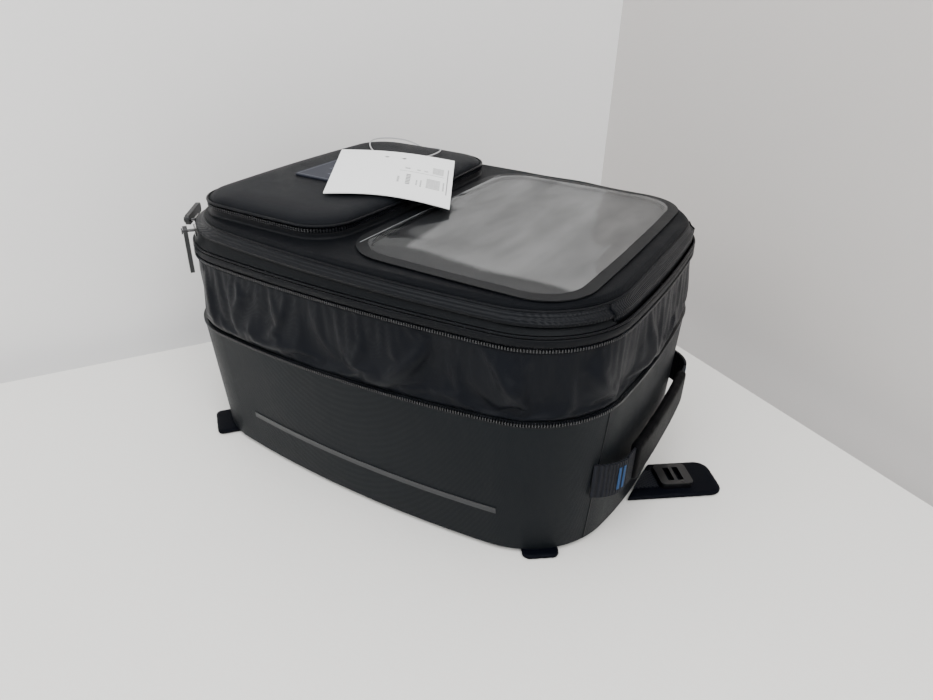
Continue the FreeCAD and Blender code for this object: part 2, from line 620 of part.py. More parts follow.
def flaps():
    """Mounting flap under each corner, and the padded strap that comes out in front."""
    thickness, low = "dims.flap_thickness", "dims.flap_clearance"
    for end, x, y, turn in (("rear", "-150.8", 117.9, 129.3), ("front", "151.2", 112.4, 53.1)):
        for flank, hand in ((1, "left"), (-1, "right")):
            flap = rounded_plate(f"{end}_{hand}_flap", f"dims.{end}_flap_length",
                                 f"dims.{end}_flap_width", thickness, "dims.flap_corner")
            node(placed(flap, x, str(flank * y), low, str(flank * turn)))

    root, turn = Vector(192, -6), "dims.strap_turn"
    along = bearing(number(turn))

    def laid(piece, name, reach, height, root_x):
        """Lay a piece on the strap's line and cut off what would reach under the bag."""
        spot = root + along * reach
        placed(piece, str(spot.x), str(spot.y), height, turn)
        return node(cut(name, piece, box(f"{name}_root", (f"{root_x} - 100", "-200", "-10"),
                                         (root_x, "200", "50"))))

    pad = rounded_plate("strap_pad_blank", "dims.strap_pad_length", "dims.strap_pad_width",
                        thickness, "dims.strap_pad_corner")
    laid(pad, "front_strap_pad", 66 - number("dims.strap_pad_length") / 2, low,
         "dims.strap_root")
    top = f"{low} + {thickness} + 0.2"
    webbing = rounded_plate("strap_webbing_blank", "dims.strap_webbing_length",
                            "dims.strap_webbing_width", "dims.strap_webbing_thickness", "1")
    laid(webbing, "front_strap_webbing", -3, top, "dims.strap_root + 0.6")
    frame = rounded_plate("strap_buckle", "dims.buckle_length", "dims.buckle_width",
                          "dims.buckle_thickness", "4")
    sketch = body_sketch(frame, "buckle_slot_profile")
    half, wide = number("dims.buckle_slot_length") / 2, number("dims.buckle_slot_width")
    for near in (-1.5 - wide, 1.5):
        outline = [(near, -half), (near + wide, -half), (near + wide, half), (near, half)]
        for (a, b), (c, d) in zip(outline, outline[1:] + outline[:1]):
            sketch.addGeometry(Part.LineSegment(Vector(a, b), Vector(c, d)), False)
    through_all(frame, "buckle_slots", sketch)
    spot = root + along * 29
    node(placed(frame, str(spot.x), str(spot.y), top, turn))


# --------------------------------------------------------------------------- hang tag

STRING_ROUTE = [(-110, 125, 209.2), (-119, 122.5, 213), (-131, 115.5, 215.3),
                (-140, 104, 216.8), (-142, 89, 217.2), (-134, 75, 217.4), (-122, 61, 217.3),
                (-107, 49, 217), (-91, 42, 217), (-76, 43.5, 217), (-65, 55, 217),
                (-60.5, 71, 217.2), (-62.5, 88, 217), (-70, 103, 215.2), (-82, 115, 212.2),
                (-94, 122.4, 209), (-104, 125, 206.6)]


def rounded_route(points):
    """Wire of straight runs joined by arcs as large as the runs allow."""
    corners = [Vector(*point) for point in points]
    edges, start = [], corners[0]
    for before, corner, after in zip(corners, corners[1:], corners[2:]):
        into, out = corner - before, after - corner
        trim = 0.45 * min(into.Length, out.Length)
        turn = into.getAngle(out)
        radius = trim / math.tan(turn / 2)
        print(f"string arc: radius {radius:6.1f} turn {math.degrees(turn):5.1f}")
        into.normalize()
        out.normalize()
        first, last = corner - into * trim, corner + out * trim
        inward = (out - into).normalize()
        middle = corner + inward * (radius / math.cos(turn / 2) - radius)
        edges += [Part.LineSegment(start, first), Part.Arc(first, middle, last)]
        start = last
    edges.append(Part.LineSegment(start, corners[-1]))
    return Part.Wire([edge.toShape() for edge in edges])


def tag_and_string():
    """Card hang tag lying over the pocket, and the string that ties it to the pocket's pull."""
    tag = rounded_plate("hang_tag", "dims.tag_width", "dims.tag_length", "dims.tag_thickness", "1")
    holes(tag, "tag_holes", [("dims.tag_hole_spacing / 2", "dims.tag_hole_offset"),
                             ("-dims.tag_hole_spacing / 2", "dims.tag_hole_offset")],
          "dims.tag_hole_diameter / 2")
    node(placed(tag, "-54.75", "3.25", "dims.tag_height", "dims.tag_turn"))
    wire = rounded_route(STRING_ROUTE)
    radius = number("dims.string_diameter") / 2
    start = Vector(*STRING_ROUTE[0])
    heading = Vector(*STRING_ROUTE[1]) - start
    profile = Part.Wire(Part.Circle(start, heading, radius).toShape())
    tube = wire.makePipeShell([profile], True, True)
    print(f"string length {wire.Length:.1f} volume ratio"
          f" {tube.Volume / (math.pi * radius ** 2 * wire.Length):.3f}")
    node(add("Part::Feature", "tag_string", Shape=tube))


for build in (shell, base, stripes, expansion, rim_and_main_zip, lid_parts, pocket_parts,
              zip_sliders, handles, flaps, tag_and_string):
    build()
    doc.recompute()

failed = [item.Name for item in doc.Objects if {"Invalid", "Error"} & set(item.State)]
assert not failed, f"objects that did not build: {failed}"
os.makedirs("parts", exist_ok=True)
for name in NODES:
    piece = doc.getObject(name)
    shape = piece.Shape
    assert not shape.isNull() and shape.isValid(), name
    bounds = shape.BoundBox
    print(f"{name:24s} solids {len(shape.Solids)} volume {shape.Volume / 1000:8.2f} cm3"
          f"  x {bounds.XMin:7.1f} {bounds.XMax:7.1f}  y {bounds.YMin:7.1f} {bounds.YMax:7.1f}"
          f"  z {bounds.ZMin:6.1f} {bounds.ZMax:6.1f}")
    shape.exportStep(f"parts/{name}.step")
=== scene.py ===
"""Looks of an expandable motorcycle tank bag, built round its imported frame. Metres throughout."""

import json
import math

import bmesh
import bpy
from mathutils import Matrix, Vector, noise


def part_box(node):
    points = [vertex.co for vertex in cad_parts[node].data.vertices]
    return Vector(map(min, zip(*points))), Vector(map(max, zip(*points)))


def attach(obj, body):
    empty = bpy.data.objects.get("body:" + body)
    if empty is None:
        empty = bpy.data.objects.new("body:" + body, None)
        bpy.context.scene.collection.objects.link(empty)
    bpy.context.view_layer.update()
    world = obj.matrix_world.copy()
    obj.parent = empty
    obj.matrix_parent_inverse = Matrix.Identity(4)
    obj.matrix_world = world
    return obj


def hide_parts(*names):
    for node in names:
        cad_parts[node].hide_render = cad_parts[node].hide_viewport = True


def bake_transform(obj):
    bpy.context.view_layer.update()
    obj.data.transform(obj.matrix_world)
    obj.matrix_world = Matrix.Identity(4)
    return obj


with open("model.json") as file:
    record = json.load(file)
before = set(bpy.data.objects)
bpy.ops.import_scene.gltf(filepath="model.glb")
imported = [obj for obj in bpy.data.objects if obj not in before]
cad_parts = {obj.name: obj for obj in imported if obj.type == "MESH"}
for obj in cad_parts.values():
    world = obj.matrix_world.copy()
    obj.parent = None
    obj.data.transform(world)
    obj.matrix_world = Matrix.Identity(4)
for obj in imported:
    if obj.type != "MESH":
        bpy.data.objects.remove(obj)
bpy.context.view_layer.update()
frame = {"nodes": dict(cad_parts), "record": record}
MM = 0.001
NODES = frame["nodes"]


# ---------------------------------------------------------------- shader maths

class Wire:
    """One output in a finish's node tree; arithmetic on it adds Math nodes."""

    def __init__(self, finish, socket):
        self.finish, self.socket = finish, socket

    def math(self, operation, *others):
        return self.finish.add("Math", {"operation": operation},
                               dict(enumerate((self, *others))))

    def __add__(self, other):
        return self.math("ADD", other)

    def __sub__(self, other):
        return self.math("SUBTRACT", other)

    def __mul__(self, other):
        return self.math("MULTIPLY", other)

    def __rsub__(self, other):
        return self.finish.add("Math", {"operation": "SUBTRACT"}, {0: other, 1: self})

    __radd__, __rmul__ = __add__, __mul__

    def over(self, low, high):
        """0 below low, 1 above high, smooth between."""
        return self.finish.add("MapRange", {"interpolation_type": "SMOOTHSTEP"},
                               {"Value": self, "From Min": low, "From Max": high})

    def between(self, low, high, soft=0.0002):
        return self.over(low - soft, low) * (1 - self.over(high, high + soft))


class Finish:
    """A procedural material: a Principled shader and the nodes that feed it."""

    def __init__(self, name, **fixed):
        self.material = bpy.data.materials.new(name)
        self.material.use_nodes = True
        self.tree = self.material.node_tree
        self.shader = self.tree.nodes["Principled BSDF"]
        for socket, value in fixed.items():
            self.shader.inputs[socket.replace("_", " ")].default_value = value

    def add(self, kind, settings=None, inputs=None, output=0):
        node = self.tree.nodes.new("ShaderNode" + kind)
        for key, value in (settings or {}).items():
            setattr(node, key, value)
        for key, value in (inputs or {}).items():
            self.feed(node.inputs[key], value)
        return Wire(self, node.outputs[output])

    def feed(self, socket, value):
        if isinstance(value, Wire):
            self.tree.links.new(value.socket, socket)
        else:
            socket.default_value = value

    def give(self, **channels):
        for socket, value in channels.items():
            self.feed(self.shader.inputs[socket.replace("_", " ")], value)
        return self

    def place(self, stretch=(1, 1, 1), source="Object"):
        """Coordinates on the piece, stretched: Object's in metres, or its own UV's."""
        coordinates = self.add("TexCoord", output=source)
        return self.add("Mapping", {}, {"Vector": coordinates, "Scale": stretch})

    def clouds(self, scale, stretch=(1, 1, 1), detail=4.0, source="Object"):
        return self.add("TexNoise", {}, {"Vector": self.place(stretch, source), "Scale": scale,
                                         "Detail": detail})

    def tint(self, factor, low, high):
        """Colour between two, by a factor."""
        mix = self.tree.nodes.new("ShaderNodeMix")
        mix.data_type = "RGBA"
        for socket, value in ((mix.inputs[0], factor), (mix.inputs[6], (*low, 1)),
                              (mix.inputs[7], (*high, 1))):
            self.feed(socket, value)
        return Wire(self, mix.outputs[2])

    def bump(self, *layers):
        """Stack bumps, each a height and its depth in metres."""
        normal = None
        for height, depth in layers:
            inputs = {"Height": height, "Distance": depth, "Strength": 1.0}
            if normal:
                inputs["Normal"] = normal
            normal = self.add("Bump", {}, inputs)
        return self.give(Normal=normal)

    def one_sided(self):
        """See-through from behind, so that a wall never hides the object from its far side."""
        behind = self.add("NewGeometry", output="Backfacing")
        clear = self.add("BsdfTransparent")
        shown = self.add("MixShader", {}, {0: behind, 1: Wire(self, self.shader.outputs[0]),
                                           2: clear})
        self.feed(self.tree.nodes["Material Output"].inputs["Surface"], shown)
        return self

    def axis(self, letter, source="Object"):
        return self.add("SeparateXYZ", {}, {0: self.add("TexCoord", output=source)},
                        output="XYZ".index(letter))


def woven(finish, pitch):
    """Height of a plain weave: threads that cross at a pitch, on whichever plane faces out."""
    waves = [(finish.axis(letter) * (2 * math.pi / pitch)).math("SINE") for letter in "XYZ"]
    return waves[0] * waves[1] + waves[1] * waves[2]


def cloth(name, dark, light, rough, pitch=0.0009, weave_depth=0.00003, crease=0.0,
          grain=None, shine=0.09):
    """Woven or coated fabric: mottled colour, thread bump, soft creases, optional grain."""
    finish = Finish(name, Sheen_Weight=0.008, Sheen_Roughness=0.45, Specular_IOR_Level=shine)
    mottle = finish.clouds(26, detail=6)
    wear = finish.clouds(140, detail=3)
    finish.give(Base_Color=finish.tint(mottle * 0.75 + wear * 0.25, dark, light),
                Roughness=rough + (mottle - 0.5) * 0.16 + (wear - 0.5) * 0.08)
    layers = [(woven(finish, pitch), weave_depth), (wear, 0.00005)]
    if grain:
        layers.append((finish.clouds(60, grain, detail=5), 0.00022))
    if crease:
        layers.append((finish.clouds(34, detail=3), crease))
    return finish.bump(*layers).material


def moulded(name, dark, light, rough, coat=0.0, metallic=0.0, depth=0.00004, scale=900):
    """Moulded plastic, rubber or enamel: fine pebble, faint scuffs."""
    finish = Finish(name, Metallic=metallic, Specular_IOR_Level=0.5)
    pebble = finish.clouds(scale, detail=2)
    scuff = finish.clouds(70, (1, 1, 2.5), detail=7)
    finish.give(Base_Color=finish.tint(scuff.over(0.4, 0.75), dark, light),
                Roughness=rough + (scuff - 0.5) * 0.2, Coat_Weight=coat)
    return finish.bump((pebble, depth), (scuff, depth)).material


def webbing(name, dark, light):
    """Ribbed webbing: cords run along it, with fine weft between; its colour has painted shade in
    the grooves between the ribs.
    """
    finish = Finish(name, Sheen_Weight=0.01, Specular_IOR_Level=0.15)
    ribs = (finish.axis("Y") * (2 * math.pi / 0.0021)).math("SINE")
    weft = (finish.axis("Z") * (2 * math.pi / 0.0008)).math("SINE")
    mottle = finish.clouds(90)
    # Painted shade: the colour darkens in the rib grooves, following the bump's height, plus random
    # mottle.
    groove_shade_and_mottle = ribs * 0.35 + 0.45 + (mottle - 0.5) * 0.5
    finish.give(Base_Color=finish.tint(groove_shade_and_mottle, dark, light), Roughness=0.62 + (mottle - 0.5) * 0.2)
    return finish.bump((ribs, 0.0004), (weft, 0.00008)).material


def clear_film():
    """Clear glossy map film: mostly see-through, with a painted reflection: its opacity, set in
    streaks and by position, shows the near-white mirror-like film.
    """
    finish = Finish("map_film", Metallic=0.92, Specular_IOR_Level=0.9)
    haze = finish.clouds(14, (1, 0.5, 1), detail=2)
    streak = finish.clouds(16, (2.2, 0.6, 1), detail=3)
    ripple = finish.clouds(17, (1.4, 0.5, 1), detail=1.5)
    x, y = finish.axis("X"), finish.axis("Y")
    wobble = (finish.clouds(9, detail=1) - 0.5) * 0.05
    inward = (y + wobble).over(-0.110, -0.102)
    forward = (x + y * 0.12 + wobble * 0.5).over(0.010, 0.017).math("MAXIMUM",
                                                                  y.over(-0.012, 0.004))
    # Painted reflection: the film shows opaque and mirror-like in streaks and in patches laid out
    # by position, fainter near one side and the rear edge.
    painted_reflection = 0.16 + (haze - 0.5) * 0.08 + (streak - 0.5) * 0.34
    finish.give(Alpha=0.05 + painted_reflection * inward * (forward * 0.85 + 0.15), Roughness=0.05 + haze * 0.1,
                Base_Color=finish.tint(haze, (0.80, 0.82, 0.83), (0.92, 0.94, 0.95)))
    return finish.bump((ripple, 0.0012)).material


def printed_card():
    """White card with a generic block of bars and rows of dashes, in the card's own UV."""
    finish = Finish("card", Specular_IOR_Level=0.3)
    across, along = finish.axis("X", "UV"), finish.axis("Y", "UV")
    fibre = finish.clouds(700, source="UV")
    bars = (along * 2200).math("SINE").over(0.0, 0.1)
    barcode = bars * across.between(0.079, 0.090) * along.between(0.036, 0.062)
    small_bars = bars * across.between(0.083, 0.092) * along.between(0.078, 0.096)
    ink = barcode.math("MAXIMUM", small_bars)
    for left, right, low, high, pitch in ((0.062, 0.0655, 0.036, 0.066, 1500),
                                          (0.055, 0.0565, 0.040, 0.056, 3000),
                                          (0.0705, 0.0715, 0.038, 0.052, 2600),
                                          (0.074, 0.075, 0.036, 0.054, 2600),
                                          (0.0925, 0.0935, 0.038, 0.060, 2800),
                                          (0.060, 0.064, 0.080, 0.085, 1700),
                                          (0.070, 0.073, 0.080, 0.083, 1900),
                                          (0.076, 0.079, 0.080, 0.083, 1900)):
        dashes = (along * pitch).math("SINE").over(-0.5, -0.3)
        ink = ink.math("MAXIMUM", dashes * across.between(left, right) * along.between(low, high))
    rules = across.between(0.0955, 0.0961) * along.between(0.030, 0.098)
    split = along.between(0.0735, 0.0741) * across.between(0.056, 0.093)
    ink = ink.math("MAXIMUM", rules.math("MAXIMUM", split)) * 0.85
    finish.give(Base_Color=finish.tint(ink, (0.86, 0.87, 0.87), (0.05, 0.05, 0.055)),
                Roughness=0.42 + fibre * 0.15)
    return finish.bump((fibre, 0.00002)).material


LABEL_SHIFT = 0.008  # how far in front of its packed place the patch is drawn


def label_rubber():
    """Moulded patch: a raised frame, and short raised bars in place of words."""
    finish = Finish("label_rubber", Specular_IOR_Level=0.4)
    low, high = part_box("label_patch")
    middle = (low + high) / 2
    x = finish.axis("X") - (middle.x + LABEL_SHIFT)
    y = finish.axis("Y") - middle.y
    inside = (x.math("ABSOLUTE").between(-1, 0.0180)
              * y.math("ABSOLUTE").between(-1, 0.0390))
    frame_line = inside * (1 - x.math("ABSOLUTE").between(-1, 0.0170)
                           * y.math("ABSOLUTE").between(-1, 0.0380))
    letters = (y * 1150).math("SINE").over(-0.3, 0.0)
    words = letters * x.between(0.004, 0.010) * y.between(-0.030, 0.030)
    small = (y * 1900).math("SINE").over(-0.2, 0.1) * x.between(-0.006, -0.002)
    mark = words.math("MAXIMUM", small * y.between(-0.014, 0.026)).math("MAXIMUM", frame_line)
    finish.give(Base_Color=finish.tint(mark, (0.004, 0.0065, 0.016), (0.016, 0.022, 0.044)),
                Roughness=0.6 - mark * 0.2)
    return finish.bump((mark, 0.0005), (finish.clouds(800), 0.00003)).material


def zip_band():
    """Smooth coated band over the zip: faint ribs that show where it turns the corners."""
    finish = Finish("zip_band", Sheen_Weight=0.005, Specular_IOR_Level=0.12)
    ribs = (finish.axis("Z") * (2 * math.pi / 0.0019)).math("SINE")
    corner = finish.axis("X").math("ABSOLUTE").over(0.09, 0.14)
    knurl = (finish.axis("Y") * (2 * math.pi / 0.0021)).math("SINE")
    cloud = finish.clouds(45, detail=5)
    finish.give(Base_Color=finish.tint(cloud, (0.002, 0.0025, 0.0038), (0.0042, 0.005, 0.0068)),
                Roughness=0.40 + (cloud - 0.5) * 0.2)
    return finish.bump((ribs, 0.00012), (knurl * corner, 0.0001), (cloud, 0.0002)).material


FINISHES = {
    "shell_laminate": cloth("shell_laminate", (0.0028, 0.0040, 0.0052), (0.0060, 0.0076, 0.0095),
                            0.46, grain=(1.0, 1.0, 0.10)),
    "lining": cloth("lining", (0.07, 0.07, 0.075), (0.10, 0.10, 0.105), 0.8, pitch=0.0014),
    "stiffener": moulded("stiffener", (0.02, 0.02, 0.02), (0.03, 0.03, 0.03), 0.5),
    "base_rubber": moulded("base_rubber", (0.015, 0.015, 0.016), (0.03, 0.03, 0.031), 0.85,
                           depth=0.0002, scale=500),
    "reflective": moulded("reflective", (0.005, 0.006, 0.0085), (0.007, 0.0085, 0.011), 0.4,
                          coat=0.05),
    "zip_tape": cloth("zip_tape", (0.002, 0.0025, 0.0035), (0.004, 0.005, 0.006), 0.5,
                      pitch=0.0012),
    "zip_teeth": moulded("zip_teeth", (0.003, 0.0035, 0.005), (0.009, 0.010, 0.013), 0.32,
                         coat=0.25),
    "gusset_fabric": cloth("gusset_fabric", (0.0015, 0.002, 0.0035), (0.004, 0.005, 0.0075),
                           0.36, crease=0.0007, grain=(1.0, 1.0, 0.25)),
    "band_fabric": cloth("band_fabric", (0.002, 0.0025, 0.0035), (0.0045, 0.005, 0.0065), 0.45),
    "zip_band": zip_band(),
    "piping": cloth("piping", (0.002, 0.0025, 0.0035), (0.0045, 0.005, 0.0065), 0.36,
                    pitch=0.0007),
    "lid_fabric": cloth("lid_fabric", (0.0012, 0.0016, 0.0025), (0.003, 0.0036, 0.005), 0.5,
                        shine=0.05, crease=0.0004),
    "map_pocket": cloth("map_pocket", (0.002, 0.0025, 0.0035), (0.0045, 0.005, 0.006), 0.4,
                        crease=0.0006),
    "map_film": clear_film(),
    "film_rim": moulded("film_rim", (0.16, 0.17, 0.18), (0.24, 0.25, 0.26), 0.2, coat=0.5),
    "window_trim": cloth("window_trim", (0.002, 0.0025, 0.0035), (0.0045, 0.005, 0.006), 0.42),
    "pocket_fabric": cloth("pocket_fabric", (0.0038, 0.0042, 0.0055), (0.007, 0.008, 0.010),
                           0.46, shine=0.04, grain=(0.25, 1.0, 1.0)),
    "label_rubber": label_rubber(),
    "slider_metal": moulded("slider_metal", (0.006, 0.006, 0.007), (0.02, 0.02, 0.022), 0.25,
                            coat=0.6, metallic=0.3),
    "pull_rubber": moulded("pull_rubber", (0.002, 0.0025, 0.0035), (0.006, 0.0065, 0.008), 0.45),
    "webbing": webbing("webbing", (0.0010, 0.0014, 0.0032), (0.006, 0.0075, 0.013)),
    "grip_foam": cloth("grip_foam", (0.0008, 0.0008, 0.0012), (0.002, 0.002, 0.0028), 0.5,
                       shine=0.04, crease=0.0002),
    "bar_tack_thread": cloth("bar_tack_thread", (0.018, 0.060, 0.16), (0.04, 0.11, 0.26), 0.5,
                             pitch=0.0006, weave_depth=0.0002),
    "flap_fabric": cloth("flap_fabric", (0.0006, 0.0009, 0.0024), (0.0016, 0.0022, 0.005), 0.45,
                         shine=0.04, crease=0.0002),
    "buckle_plastic": moulded("buckle_plastic", (0.001, 0.001, 0.0016), (0.003, 0.003, 0.004),
                              0.3, coat=0.06, depth=0.00001),
    "card": printed_card(),
    "string": cloth("string", (0.45, 0.45, 0.46), (0.66, 0.66, 0.67), 0.7, pitch=0.0006,
                    weave_depth=0.0001),
}
for entry in frame["record"]["subparts"]:
    NODES[entry["node"]].data.materials.clear()
    NODES[entry["node"]].data.materials.append(FINISHES[entry["material_slot"]])


# ---------------------------------------------------------------- outlines and level curves

class Outline:
    """Four bowed edges joined by four round corners, as the bag is cut at one height."""

    def __init__(self, half_length, half_width, side, end, corner, centre=0.0):
        self.centre = centre * MM
        self.side_y, self.end_x = (half_width - side) * MM, (half_length - end) * MM
        self.side, self.end, self.corner = side * MM, end * MM, corner * MM
        span = math.hypot(self.side_y, self.end_x)
        to_side, to_end = self.side - self.corner, self.end - self.corner
        along = (to_side ** 2 - to_end ** 2 + span ** 2) / (2 * span)
        across = math.sqrt(to_side ** 2 - along ** 2)
        unit_x, unit_y = self.end_x / span, -self.side_y / span
        self.corner_x = unit_x * along + unit_y * across
        self.corner_y = self.side_y + unit_y * along - unit_x * across

    def arcs(self, inset):
        """Centre, radius and angles of each arc, anticlockwise from the front's middle."""
        x, y = self.corner_x, self.corner_y
        start = math.atan2(y, x - self.end_x)
        finish = math.atan2(y - self.side_y, x)
        end, side, corner = self.end - inset, self.side - inset, self.corner - inset
        turn = math.pi
        return [(self.end_x, 0, end, 0, start), (x, y, corner, start, finish),
                (0, self.side_y, side, finish, turn - finish),
                (-x, y, corner, turn - finish, turn - start),
                (-self.end_x, 0, end, turn - start, turn + start),
                (-x, -y, corner, turn + start, turn + finish),
                (0, -self.side_y, side, turn + finish, 2 * turn - finish),
                (x, -y, corner, 2 * turn - finish, 2 * turn - start),
                (self.end_x, 0, end, -start, 0)]

    def walk(self, count, inset=0.0):
        """Evenly spaced points with outward directions, flat, round the outline."""
        arcs = self.arcs(inset)
        lengths = [radius * (last - first) for _, _, radius, first, last in arcs]
        step = sum(lengths) / count
        points, index, passed = [], 0, 0.0
        for number in range(count):
            goal = number * step
            while goal > passed + lengths[index] and index < 8:
                passed += lengths[index]
                index += 1
            x, y, radius, first, _ = arcs[index]
            angle = first + (goal - passed) / radius
            outward = Vector((math.cos(angle), math.sin(angle), 0))
            points.append((Vector((x + self.centre, y, 0)) + outward * radius, outward))
        return points

    def length(self):
        return sum(radius * (last - first) for _, _, radius, first, last in self.arcs(0))


FOOT = Outline(191, 140.5, 942, 382, 75)
SHOULDER = Outline(190, 149, 864, 872, 71.5)
RIM = Outline(187, 144, 1370, 1100, 70.5, -0.5)
ZIP = Outline(182, 141.5, 1220, 1800, 69.5, 0.5)
LID = Outline(176, 139, 1084, 4500, 68.5, 2)
POCKET = Outline(70.5, 120.5, 1500, 1500, 31, -90.5)
WINDOW = Outline(82, 117, 3000, 3000, 30, 75)
SHOULDER_TILT, RIM_TILT = math.radians(2.2), math.radians(1.0)

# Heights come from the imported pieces; the tilted rings' own heights are at their middle.
SHOULDER_Z = 0.112
LID_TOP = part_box("lid_panel")[1].z
POCKET_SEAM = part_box("pocket_top_panel")[0].z
POCKET_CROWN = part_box("pocket_top_panel")[1].z
LID_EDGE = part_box("lid_panel")[0].z
RIM_FOOT, RIM_TOP = 0.171, 0.1785
ZIP_LINE = 0.186
SEAM_Y = 0.0912  # where side and end panels meet, and where the main zip ends


def level(outline, z, inset=0.0, tilt=0.0):
    """A level curve: an outline at a height, set in by millimetres, tipped up to the front."""
    return outline, z, inset * MM, tilt


def curve(station, count):
    outline, z, inset, tilt = station
    return [Vector((spot.x * math.cos(tilt), spot.y, z + spot.x * math.sin(tilt)))
            for spot, _ in outline.walk(count, inset)]


# ---------------------------------------------------------------- making pieces

def placed(name, data):
    """Object that shows some data, put in the scene."""
    piece = bpy.data.objects.new(name, data)
    bpy.context.scene.collection.objects.link(piece)
    return piece


def finished(name, mesh, material, body=None, replaces=(), smooth=True):
    """Object from a bmesh, with its finish, its body and the nodes that it stands for."""
    data = bpy.data.meshes.new(name)
    mesh.to_mesh(data)
    mesh.free()
    piece = placed(name, data)
    data.materials.append(FINISHES[material])
    data.polygons.foreach_set("use_smooth", [smooth] * len(data.polygons))
    if body:
        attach(piece, body)
    if replaces:
        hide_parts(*replaces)
    return piece


def subdivided(piece):
    """Round a piece off by one level of subdivision."""
    modifier = piece.modifiers.new("smooth", "SUBSURF")
    modifier.levels = modifier.render_levels = 1
    return piece


def thickened(piece, depth, offset=-1.0):
    """Give a surface a thickness: inward, or to both sides at offset 0."""
    modifier = piece.modifiers.new("thickness", "SOLIDIFY")
    modifier.thickness, modifier.offset = depth, offset
    return piece


def wrapped(stations, count, rows, shape=None):
    """Sleeve of faces through level curves, low to high, with UVs in metres."""
    loops = [curve(station, count) for station in stations]
    mesh = bmesh.new()
    uv = mesh.loops.layers.uv.verify()
    bands = rows * (len(loops) - 1)
    bmesh.ops.create_grid(mesh, x_segments=count, y_segments=bands, size=1, calc_uvs=True)
    tall = (loops[-1][0] - loops[0][0]).length
    around = stations[0][0].length()
    for face in mesh.faces:
        for loop in face.loops:
            loop[uv].uv = (loop[uv].uv.x * around, loop[uv].uv.y * tall)
    for vert in mesh.verts:
        column = round((vert.co.x + 1) / 2 * count) % count
        height = (vert.co.y + 1) / 2 * (len(loops) - 1)
        low = min(int(height + 1e-5), len(loops) - 2)
        spot = loops[low][column].lerp(loops[low + 1][column], height - low)
        vert.co = shape(spot, height / (len(loops) - 1)) if shape else spot
    bmesh.ops.remove_doubles(mesh, verts=mesh.verts, dist=1e-6)
    bmesh.ops.recalc_face_normals(mesh, faces=mesh.faces)
    return mesh


def capped(outline, count, rows, height, inset=0.0):
    """Disc that fills an outline; height gives z from a point and its share of the way out."""
    ring = [spot for spot, _ in outline.walk(count, inset)]
    middle = Vector((outline.centre, 0, 0))
    depth = 0.985  # the grid stops just short of the middle, and a face fills the hole
    mesh = bmesh.new()
    uv = mesh.loops.layers.uv.verify()
    bmesh.ops.create_grid(mesh, x_segments=count, y_segments=rows, size=1, calc_uvs=True)
    for vert in mesh.verts:
        column = round((vert.co.x + 1) / 2 * count) % count
        share = 1 - (vert.co.y + 1) / 2 * depth
        spot = middle.lerp(ring[column], share)
        spot.z = height(spot, share)
        vert.co = spot
    bmesh.ops.remove_doubles(mesh, verts=mesh.verts, dist=1e-6)
    bmesh.ops.holes_fill(mesh, edges=[edge for edge in mesh.edges
                                      if edge.is_boundary
                                      and (edge.verts[0].co.xy - middle.xy).length < 0.01], sides=0)
    for face in mesh.faces:
        for loop in face.loops:
            loop[uv].uv = loop.vert.co.xy
    bmesh.ops.recalc_face_normals(mesh, faces=mesh.faces)
    if sum(face.normal.z for face in mesh.faces) < 0:
        bmesh.ops.reverse_faces(mesh, faces=mesh.faces)
    return mesh


def tube(name, lines, radius, material, body, replaces=(), closed=False, rounding=2):
    """Thin round welt along each line of points."""
    data = bpy.data.curves.new(name, "CURVE")
    data.dimensions, data.bevel_depth, data.bevel_resolution = "3D", radius, rounding
    for line in lines:
        spline = data.splines.new("POLY")
        spline.points.add(len(line) - 1)
        for point, spot in zip(spline.points, line):
            point.co = (*spot, 1)
        spline.use_cyclic_u = closed
    piece = placed(name, data)
    data.materials.append(FINISHES[material])
    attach(piece, body)
    if replaces:
        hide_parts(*replaces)


def welt(name, station, radius, material, body, replaces=()):
    """Round piping that follows a level curve."""
    tube(name, [curve(station, 220)], radius, material, body, replaces=replaces, closed=True,
         rounding=3)


def teeth(name, station, pitch, size, body, replaces=(), skip=None):
    """Row of zip teeth along a level curve: short posts with rounded heads, on a cord."""
    outline, z, inset, tilt = station
    count = round(outline.length() / pitch)
    mesh = bmesh.new()
    for spot, outward in outline.walk(count, inset):
        if skip and skip(spot):
            continue
        place = Vector((spot.x * math.cos(tilt), spot.y, z + spot.x * math.sin(tilt)))
        along = Vector((-outward.y, outward.x, 0))
        turn = Matrix((along, outward, (0, 0, 1))).transposed().to_4x4()
        matrix = Matrix.Translation(place) @ turn @ Matrix.Diagonal((*size, 1))
        head = bmesh.ops.create_cube(mesh, size=1, matrix=matrix)["verts"]
        for vert in head:
            if (vert.co - place).dot(outward) > 0:
                vert.co = place + (vert.co - place) * 0.8 + outward * size[1] * 0.12
    return finished(name, mesh, "zip_teeth", body, replaces=replaces, smooth=False)


def evaluated(piece, name):
    """Replace a piece's mesh by what its modifiers make of it now."""
    graph = bpy.context.evaluated_depsgraph_get()
    shown = piece.evaluated_get(graph)
    data = bpy.data.meshes.new_from_object(shown, preserve_all_data_layers=True, depsgraph=graph)
    data.name = name
    piece.modifiers.clear()
    piece.data = data


